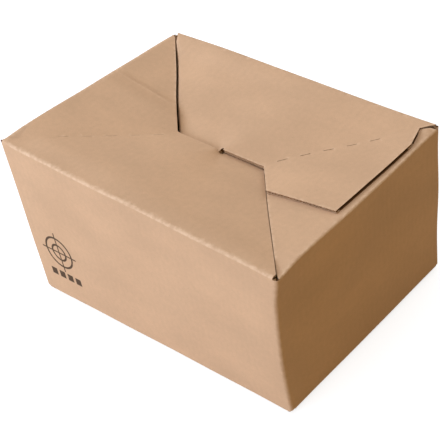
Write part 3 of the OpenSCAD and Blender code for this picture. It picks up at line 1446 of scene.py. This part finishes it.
    def _perforations(self, flap: FlapFold, trim: LongTrim) -> list[Points]:
        """Short cuts along a tab's crease.

        Args:
            flap: The flap's fold.
            trim: What sets this long flap apart.

        Returns:
            The outline of each cut.
        """
        half_x, half_y = self.size.half
        start = np.array([-self.crease_end, half_y])
        run = np.array([-half_x, 0.0]) - start
        length = float(np.linalg.norm(run))
        run /= length
        side = np.array([-run[1], run[0]]) * trim.cut_width / 2.0
        made = []
        for d in np.arange(self.cut_start, length - 2.0 * self.cut_pitch, self.cut_pitch):
            near, far = start + run * d, start + run * (d + self.cut_length)
            ring = (far + side, far - side, near - side, near + side)
            made.append(np.array([(place[0], flap.unroll(float(place[1]))) for place in ring]))
        return made

    def _short_panel(self, wall: Wall, strip: WallStrip) -> Panel:
        """A short flap, one board below the long ones.

        Args:
            wall: The end wall that it folds from.
            strip: The strip of walls.

        Returns:
            The panel.
        """
        size, is_right = self.size, wall is Wall.RIGHT
        half_x, half_y = size.half
        flap = FlapFold(
            size, wall, strip.starts[wall], size.hinge(wall), size.end_fold, self.end_tilt,
            shape=self.right_rise if is_right else None,
        )
        end = half_y - size.fold - size.fold_gap
        trimmed = self.short_trim / size.width
        tip_s = -half_y * trimmed
        tip_a = (half_x - self.lock) * (1.0 - trimmed)
        share = flap.arc_end / tip_a
        front_s = (half_y - self.short_trim) * (1.0 - share) + tip_s * share
        shift = self.front.gap_shift if is_right else 0.0
        near_share = (self.short_start + shift) / (tip_a + shift)
        near_s = -half_y * (1.0 - near_share) + tip_s * near_share
        outline = [
            Corner(-end, 0.0, joined=True),
            Corner(end, 0.0, step=flap.arc_step),
            Corner(end - self.short_end_cut, flap.arc * self.short_end_share, step=flap.arc_step),
            Corner(front_s, flap.arc),
            Corner(half_y - self.short_corner, flap.unroll(self.tip_from_end)),
            Corner(tip_s, flap.unroll(tip_a)),
            Corner(near_s, flap.unroll(self.short_start), step=1.0),
            Corner(-end, flap.arc, step=flap.arc_step),
        ]
        rows = flap.rows(self.past_short_fold, size.crush_run)
        return Panel(f"short flap, {wall.name.lower()}", flap, outline, rows=rows, spacing=self.short_grid)


@dataclass
class ClosingFlaps:
    """The closing flaps underneath: the outer two meet at the middle, the inner two lie on them."""

    size: CartonSize
    seam_gap: float = 2.0
    past_fold: float = 1.0
    grid: float = 12.0

    def panels(self, strip: WallStrip) -> list[Panel]:
        """The four closing flaps."""
        return [self._panel(wall, strip) for wall in Wall]

    def _panel(self, wall: Wall, strip: WallStrip) -> Panel:
        """One closing flap. The back one starts clear of the lap.

        Args:
            wall: The wall that it folds from.
            strip: The strip of walls.

        Returns:
            The panel.
        """
        size = self.size
        flap = FlapFold(size, wall, strip.starts[wall], size.floor_hinge(wall), size.fold, rise=-1.0)
        tip = flap.unroll(size.half[1] - self.seam_gap / 2.0 if wall.is_long else size.half[1])
        wide = size.wall_half(wall) - size.slot
        left = size.half[0] - size.fold - size.board.thickness if wall is Wall.BACK else wide
        outline = [
            Corner(-left, 0.0, joined=True),
            Corner(wide, 0.0, step=flap.arc_step),
            Corner(wide, flap.arc),
            Corner(wide, tip),
            Corner(-left, tip),
            Corner(-left, flap.arc, step=flap.arc_step),
        ]
        name = f"closing flap, {wall.name.lower()}"
        return Panel(name, flap, outline, rows=flap.rows(self.past_fold), spacing=self.grid)


@dataclass
class Carton:
    """The whole sheet, folded: walls and glue lap, lock bottom at the top and closing flaps underneath."""

    size: CartonSize = CartonSize()
    weld: float = 0.01
    sharp_angle: float = 40.0
    mark_across: float = 38.0
    mark_up: float = 56.0

    def __post_init__(self) -> None:
        """Makes the parts of the sheet."""
        self.strip = WallStrip(self.size)
        self.bottom = LockBottom(self.size)
        self.closing = ClosingFlaps(self.size)

    def ink_mark(self) -> "InkMark":
        """The mark at the lower left of the front wall."""
        left = self.strip.starts[Wall.FRONT] - self.size.half[0]
        return InkMark(across=(left + self.mark_across) * MM, up=self.mark_up * MM)

    def build(self, finishes: Sequence[bpy.types.Material]) -> bpy.types.Object:
        """Builds the carton as one object.

        Args:
            finishes: Materials of the outside, the inside, the cut edges with partly painted shade, and the
                painted shade between the liners.

        Returns:
            The new object, in the shared frame.
        """
        sheet = SheetBuilder(self.size.board)
        walls = self.strip.panel(self.bottom.front.gap, self.bottom.back.gap)
        for panel in [walls, *self.bottom.panels(self.strip), *self.closing.panels(self.strip)]:
            before = sheet.count
            sheet.add_panel(panel)
            LOG.info("%s: %d points", panel.name, sheet.count - before)
        sheet.add_medium()
        mesh = self._mesh(sheet)
        for finish in finishes:
            mesh.materials.append(finish)
        self._weld(mesh, sheet.liner_count)
        return link(bpy.data.objects.new(mesh.name, mesh))

    def _mesh(self, sheet: SheetBuilder) -> bpy.types.Mesh:
        """The sheet's mesh as a hand folds it, with its places on the blank and how much pale paint each
        point gets, for rubbing and painted highlight.

        Args:
            sheet: The finished sheet.

        Returns:
            The mesh.
        """
        points = HandFold(self.size).move(np.concatenate(sheet.points)) * MM
        mesh = bpy.data.meshes.new("carton_sheet")
        mesh.from_pydata(points.tolist(), [], sheet.faces)
        mesh.polygons.foreach_set("material_index", np.array(sheet.papers, np.int32))
        blank = mesh.attributes.new("blank", "FLOAT_VECTOR", "POINT")
        flat = np.column_stack([np.concatenate(sheet.blank) * MM, np.zeros(sheet.count)])
        blank.data.foreach_set("vector", flat.astype(np.float32).ravel())
        wear_highlight = mesh.attributes.new("wear_highlight", "FLOAT", "POINT")
        wear_highlight.data.foreach_set("value", np.concatenate(sheet.wear_highlight).astype(np.float32))
        return mesh

    def _weld(self, mesh: bpy.types.Mesh, liner_count: int) -> None:
        """Joins the panels where they meet and shades the sheet smooth between its edges.

        Args:
            mesh: The sheet's mesh.
            liner_count: How many of its points belong to the panels. The medium's points come after them.
        """
        edit = bmesh.new()
        edit.from_mesh(mesh)
        edit.verts.ensure_lookup_table()
        bmesh.ops.remove_doubles(edit, verts=edit.verts[:liner_count], dist=self.weld * MM)
        bmesh.ops.delete(edit, geom=[v for v in edit.verts if not v.link_faces], context="VERTS")
        open_edges = sum(1 for e in edit.edges if not e.is_manifold)
        LOG.info("sheet: %d faces, %d open edges", len(edit.faces), open_edges)
        edit.to_mesh(mesh)
        edit.free()
        mesh.shade_smooth()
        mesh.set_sharp_from_angle(angle=math.radians(self.sharp_angle))


class NodeSheet:
    """Short calls for building the nodes of a material or a world."""

    def __init__(self, owner: bpy.types.ID) -> None:
        """Starts with an empty node tree.

        Args:
            owner: The material or world that the nodes belong to.
        """
        owner.use_nodes = True
        self.owner = owner
        self.tree = owner.node_tree
        self.tree.nodes.clear()

    def add(self, kind: str, inputs: Optional[dict] = None, **settings: object) -> bpy.types.Node:
        """Adds a node.

        Args:
            kind: The node's type, without its ShaderNode prefix.
            inputs: Values or sockets for its inputs.
            settings: The node's own settings.

        Returns:
            The node.
        """
        node = self.tree.nodes.new(f"ShaderNode{kind}")
        for key, value in settings.items():
            setattr(node, key, value)
        for key, value in (inputs or {}).items():
            if isinstance(value, Socket):
                self.tree.links.new(value, node.inputs[key])
            else:
                node.inputs[key].default_value = value
        return node

    def math(self, operation: str, *values: Socket | float) -> Socket:
        """A Math node's result."""
        return self.add("Math", dict(enumerate(values)), operation=operation).outputs[0]

    def ramp(self, value: Socket, low: float, high: float) -> Socket:
        """A soft step of a value from 0 at low to 1 at high."""
        inputs = {"Value": value, "From Min": low, "From Max": high}
        return self.add("MapRange", inputs, interpolation_type="SMOOTHSTEP").outputs["Result"]

    def mix(self, share: Socket | float, first: Socket | Colour, second: Socket | Colour) -> Socket:
        """A mix of two colours."""
        sides = [side if isinstance(side, Socket) else (*side, 1.0) for side in (first, second)]
        return self.add("Mix", {0: share, 6: sides[0], 7: sides[1]}, data_type="RGBA").outputs[2]

    def seen(self) -> Socket:
        """1 for rays that show a backdrop: from the camera, off gloss or through glass.

        Returns:
            The socket.
        """
        path = self.add("LightPath")
        gloss = self.math("MAXIMUM", path.outputs["Is Glossy Ray"], path.outputs["Is Transmission Ray"])
        return self.math("MAXIMUM", path.outputs["Is Camera Ray"], gloss)


@dataclass(frozen=True)
class Grain:
    """A noise in the paper: grains to the metre across and along the flutes, and its share in the tone."""

    across: float
    along: float
    detail: float
    share: float

    def add(self, sheet: NodeSheet, place: Socket) -> Socket:
        """Adds the noise to a material, by the places on the blank."""
        scaled = sheet.add("Mapping", {"Vector": place, "Scale": (self.across, self.along, 1.0)}).outputs[0]
        return sheet.add("TexNoise", {"Vector": scaled, "Scale": 1.0, "Detail": self.detail}).outputs["Fac"]


@dataclass(frozen=True)
class KraftFinish:
    """Unbleached kraft paper: a brown sheet with fibres, soft clouds, dark specks and faint flutes, and a
    paler colour that stands for rubbing and a painted highlight.

    Lengths are in metres. The tone, the specks' edge and the edge of the pale rubbed and highlighted patches
    are the steps' low and high ends.
    """

    name: str
    colour: Colour
    shade: float = 0.88
    clouds: Grain = Grain(14.0, 22.0, detail=2.0, share=0.42)
    mottle: Grain = Grain(230.0, 190.0, detail=4.0, share=0.24)
    fibres: Grain = Grain(2600.0, 700.0, detail=3.0, share=0.40)
    tone: tuple[float, float] = (0.34, 0.78)
    pale_power: float = 0.6
    speck_scale: float = 170.0
    speck_edge: tuple[float, float] = (0.035, 0.075)
    speck_share: float = 0.35
    speck_shade: float = 0.45
    # The pale colour of rubbed paper, which also paints highlights on folds, corners and cut edges.
    worn_highlight: Colour = (0.80, 0.60, 0.42)
    wear_highlight_share: float = 0.62
    rub_highlight_edge: tuple[float, float] = (0.3, 0.7)
    flute_pitch: float = 0.0065
    flute_show: float = 0.0072
    ink: Colour = (0.075, 0.042, 0.022)
    roughness: float = 0.78
    gloss: float = 0.3
    bump: tuple[float, float] = (0.12, 0.0002)
    flute_bump: tuple[float, float] = (0.2, 0.00005)

    def make(self, mark: Optional["InkMark"] = None) -> bpy.types.Material:
        """Builds the material.

        Args:
            mark: The ink mark printed on it, if there is one.

        Returns:
            The material.
        """
        sheet = NodeSheet(bpy.data.materials.new(self.name))
        place = sheet.add("Attribute", attribute_name="blank").outputs["Vector"]
        grains = [grain.add(sheet, place) for grain in (self.clouds, self.mottle, self.fibres)]
        _, mottle, fibres = grains
        across = sheet.add("SeparateXYZ", {0: place}).outputs[0]
        flutes = sheet.math("SINE", sheet.math("MULTIPLY", across, 2.0 * math.pi / self.flute_pitch))
        colour = self._paper(sheet, [*grains, flutes])
        colour = self._specks(sheet, place, colour)
        # Rubbing and painted highlight: the pale colour goes in patches where the mesh marks folds, corners
        # and cut edges.
        wear_highlight = sheet.add("Attribute", attribute_name="wear_highlight").outputs["Fac"]
        patchy = sheet.math("MULTIPLY", sheet.ramp(mottle, *self.rub_highlight_edge), self.wear_highlight_share)
        colour = sheet.mix(sheet.math("MULTIPLY", wear_highlight, patchy), colour, self.worn_highlight)
        if mark is not None:
            colour = sheet.mix(mark.mask(sheet, place, mottle), colour, self.ink)
        inputs = {
            "Base Color": colour, "Roughness": self.roughness, "Specular IOR Level": self.gloss,
            "Normal": self._relief(sheet, fibres, mottle, flutes),
        }
        sheet.add("OutputMaterial", {"Surface": sheet.add("BsdfPrincipled", inputs).outputs[0]})
        return sheet.owner

    def _paper(self, sheet: NodeSheet, grains: Sequence[Socket]) -> Socket:
        """The paper's colour: darker and paler by its clouds, mottle, fibres and flutes.

        Args:
            sheet: The material's nodes.
            grains: The clouds, mottle, fibres and flutes.

        Returns:
            The colour.
        """
        shares = (self.clouds.share, self.mottle.share, self.fibres.share, self.flute_show)
        light, *others = (sheet.math("MULTIPLY", grain, share) for grain, share in zip(grains, shares))
        for other in others:
            light = sheet.math("ADD", light, other)
        dark = tuple(c * self.shade for c in self.colour)
        pale = tuple(min(1.0, c * (2.0 - self.shade) ** self.pale_power) for c in self.colour)
        return sheet.mix(sheet.ramp(light, *self.tone), dark, pale)

    def _specks(self, sheet: NodeSheet, place: Socket, colour: Socket) -> Socket:
        """The colour with small dark specks.

        Args:
            sheet: The material's nodes.
            place: Places on the blank.
            colour: The paper's colour.

        Returns:
            The colour.
        """
        inputs = {"Vector": place, "Scale": self.speck_scale, "Randomness": 1.0}
        distance = sheet.add("TexVoronoi", inputs).outputs["Distance"]
        inside = sheet.math("SUBTRACT", 1.0, sheet.ramp(distance, *self.speck_edge))
        dark = tuple(c * self.speck_shade for c in self.colour)
        return sheet.mix(sheet.math("MULTIPLY", inside, self.speck_share), colour, dark)

    def _relief(self, sheet: NodeSheet, fibres: Socket, mottle: Socket, flutes: Socket) -> Socket:
        """The paper's normal: fibres, mottle and the flutes that show through.

        Args:
            sheet: The material's nodes.
            fibres: The fibres' noise.
            mottle: The mottle's noise.
            flutes: The waves of the flutes.

        Returns:
            The normal.
        """
        rough = sheet.math("ADD", sheet.math("MULTIPLY", fibres, 0.5), sheet.math("MULTIPLY", mottle, 0.5))
        strength, distance = self.bump
        paper = sheet.add("Bump", {"Height": rough, "Strength": strength, "Distance": distance}).outputs[0]
        strength, distance = self.flute_bump
        waves = {"Height": flutes, "Strength": strength, "Distance": distance, "Normal": paper}
        return sheet.add("Bump", waves).outputs[0]


@dataclass(frozen=True)
class InkMark:
    """A plain printer's register mark: two rings, a crosshair and a row of density patches, in metres."""

    across: float
    up: float
    rings: tuple[float, ...] = (0.0165, 0.0085)
    line: float = 0.0011
    hair: float = 0.00077
    reach: float = 0.0225
    patches: tuple[float, ...] = (-0.0165, -0.0055, 0.0055, 0.0165)
    patch_drop: float = 0.0275
    patch_half: float = 0.0038
    edge: float = 0.00025
    cover: tuple[float, float] = (0.12, 0.42)

    def mask(self, sheet: NodeSheet, place: Socket, mottle: Socket) -> Socket:
        """Share of ink at each place on the blank.

        Args:
            sheet: The material's nodes.
            place: Places on the blank.
            mottle: Noise that breaks up the ink.

        Returns:
            The share, from 0 to 1.
        """
        split = sheet.add("SeparateXYZ", {0: place})
        x = sheet.math("SUBTRACT", split.outputs[0], self.across)
        y = sheet.math("SUBTRACT", split.outputs[1], self.up)
        squares = (sheet.math("MULTIPLY", side, side) for side in (x, y))
        radius = sheet.math("SQRT", sheet.math("ADD", *squares))
        parts = [self._band(sheet, radius, ring, self.line) for ring in self.rings]
        boxes = [((0.0, 0.0), (self.hair, self.reach)), ((0.0, 0.0), (self.reach, self.hair))]
        boxes += [((patch, -self.patch_drop), (self.patch_half, self.patch_half)) for patch in self.patches]
        for middle, half in boxes:
            bands = (self._band(sheet, *axis) for axis in zip((x, y), middle, half))
            parts.append(sheet.math("MULTIPLY", *bands))
        ink = parts[0]
        for part in parts[1:]:
            ink = sheet.math("MAXIMUM", ink, part)
        return sheet.math("MULTIPLY", ink, sheet.ramp(mottle, *self.cover))

    def _band(self, sheet: NodeSheet, value: Socket, middle: float, half: float) -> Socket:
        """1 where a value is within half of a middle, with a soft edge."""
        off = sheet.math("ABSOLUTE", sheet.math("SUBTRACT", value, middle))
        return sheet.math("SUBTRACT", 1.0, sheet.ramp(off, half - self.edge, half + self.edge))


@dataclass(frozen=True)
class Lamp:
    """A square softbox that looks at the carton."""

    name: str
    azimuth: float
    elevation: float
    distance: float
    side: float
    power: float
    colour: Colour = (0.71, 0.81, 1.0)
    aim: tuple[float, float, float] = (0.0, 0.0, 0.08)

    def place(self) -> bpy.types.Object:
        """Adds the lamp to the scene.

        Returns:
            The lamp's object.
        """
        light = bpy.data.lights.new(self.name, "AREA")
        light.shape, light.size, light.energy, light.color = "SQUARE", self.side, self.power, self.colour
        lamp = bpy.data.objects.new(self.name, light)
        back = towards(self.azimuth, self.elevation)
        lamp.location = back * self.distance + Vector(self.aim)
        lamp.rotation_mode = "QUATERNION"
        lamp.rotation_quaternion = (-back).to_track_quat("-Z", "Y")
        return link(lamp)


@dataclass
class Studio:
    """A pale floor, a white backdrop, soft lamps and the camera at the photograph's angle, in metres."""

    azimuth: float = 45.26
    elevation: float = 38.57
    roll: float = -7.87
    distance: float = 1.051
    aim: tuple[float, float, float] = (0.0, 0.0, 0.083)
    slide: tuple[float, float] = (-0.0077, -0.0121)
    focal_pixels: float = 1141.0
    picture_pixels: float = 440.0
    sensor: float = 36.0
    clip: tuple[float, float] = (0.01, 100.0)
    floor_side: float = 12.0
    floor_drop: float = 0.0004
    floor_colour: Colour = (0.50, 0.385, 0.25)
    floor_shaded: Colour = (0.45, 0.50, 0.58)
    floor_glow: float = 0.8
    white: Colour = (1.0, 1.0, 1.0)
    sky: Colour = (0.32, 0.188, 0.005)
    lamps: tuple[Lamp, ...] = (
        Lamp("front", azimuth=-15.0, elevation=8.0, distance=2.4, side=1.6, power=64.0),
        Lamp("left", azimuth=-75.0, elevation=35.0, distance=1.6, side=1.1, power=12.9),
        Lamp("top", azimuth=-30.0, elevation=80.0, distance=2.4, side=2.0, power=15.5),
        Lamp("back", azimuth=170.0, elevation=40.0, distance=2.4, side=2.0, power=20.0),
    )

    def build(self) -> None:
        """Sets up the whole studio."""
        self._camera()
        self._floor()
        self._world()
        for lamp in self.lamps:
            lamp.place()
        bpy.context.scene.view_settings.view_transform = "Standard"

    def _camera(self) -> None:
        """Places the camera."""
        back = towards(self.azimuth, self.elevation)
        roll = math.radians(self.roll)
        level = Vector((0.0, 0.0, 1.0)).cross(back).normalized()
        upright = back.cross(level)
        right = level * math.cos(roll) + upright * math.sin(roll)
        up = upright * math.cos(roll) - level * math.sin(roll)
        data = bpy.data.cameras.new("camera")
        data.sensor_width = self.sensor
        data.lens = self.focal_pixels / self.picture_pixels * self.sensor
        data.clip_start, data.clip_end = self.clip
        camera = bpy.data.objects.new("camera", data)
        turn = Matrix((right, up, back)).transposed().to_4x4()
        spot = Vector(self.aim) + back * self.distance + right * self.slide[0] + up * self.slide[1]
        camera.matrix_world = Matrix.Translation(spot) @ turn
        bpy.context.scene.camera = link(camera)

    def _floor(self) -> None:
        """Lays the floor: white with a faint shadow where it is seen, and pale as it returns light."""
        sheet = NodeSheet(bpy.data.materials.new("floor_white"))
        returned = sheet.add("BsdfDiffuse", {"Color": (*self.floor_colour, 1.0)})
        glow = sheet.add("Emission", {"Color": (*self.white, 1.0), "Strength": self.floor_glow})
        shaded = sheet.add("BsdfDiffuse", {"Color": (*self.floor_shaded, 1.0)})
        white = sheet.add("AddShader", {0: shaded.outputs[0], 1: glow.outputs[0]})
        shader = sheet.add("MixShader", {0: sheet.seen(), 1: returned.outputs[0], 2: white.outputs[0]})
        sheet.add("OutputMaterial", {"Surface": shader.outputs[0]})
        half = self.floor_side / 2.0
        corners = [(x * half, y * half, -self.floor_drop) for x, y in ((-1, -1), (1, -1), (1, 1), (-1, 1))]
        mesh = bpy.data.meshes.new("floor")
        mesh.from_pydata(corners, [], [(0, 1, 2, 3)])
        mesh.materials.append(sheet.owner)
        floor = link(bpy.data.objects.new("floor", mesh))

    def _world(self) -> None:
        """Makes the world white where it is seen, and soft and warm as light."""
        sheet = NodeSheet(bpy.data.worlds.new("backdrop"))
        colour = sheet.mix(sheet.seen(), self.sky, self.white)
        sky = sheet.add("Background", {"Color": colour, "Strength": 1.0})
        sheet.add("OutputWorld", {"Surface": sky.outputs[0]})
        bpy.context.scene.world = sheet.owner


def kraft_finishes(mark: InkMark) -> list[bpy.types.Material]:
    """The materials of the sheet, in the order of the papers.

    Args:
        mark: The ink mark printed on the outside.

    Returns:
        The materials.
    """
    edge = {"shade": 0.7, "flute_show": 0.0}
    return [
        KraftFinish("kraft_outside", (0.66, 0.445, 0.285)).make(mark),
        KraftFinish("kraft_inside", (0.60, 0.40, 0.25), wear_highlight_share=0.2).make(),
        # The cut edges' colour is darker than the outside: partly their own tone, partly painted shade.
        KraftFinish("kraft_cut", (0.53, 0.36, 0.23), wear_highlight_share=0.3, **edge).make(),
        # Painted shade: near-black brown for the dark between the liners.
        KraftFinish("kraft_painted_shade", (0.13, 0.055, 0.012), wear_highlight_share=0.0, **edge).make(),
    ]


def main() -> None:
    """Builds the studio and the carton."""
    logging.basicConfig(level=logging.INFO, format="%(name)s: %(message)s")
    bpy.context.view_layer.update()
    Studio().build()
    carton = Carton()
    piece = carton.build(kraft_finishes(carton.ink_mark()))
    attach(piece, "root")
    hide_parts("carton")
    LOG.info("%s: %d triangles", piece.name, sum(len(p.vertices) - 2 for p in piece.data.polygons))


if __name__ == "__main__":
    main()
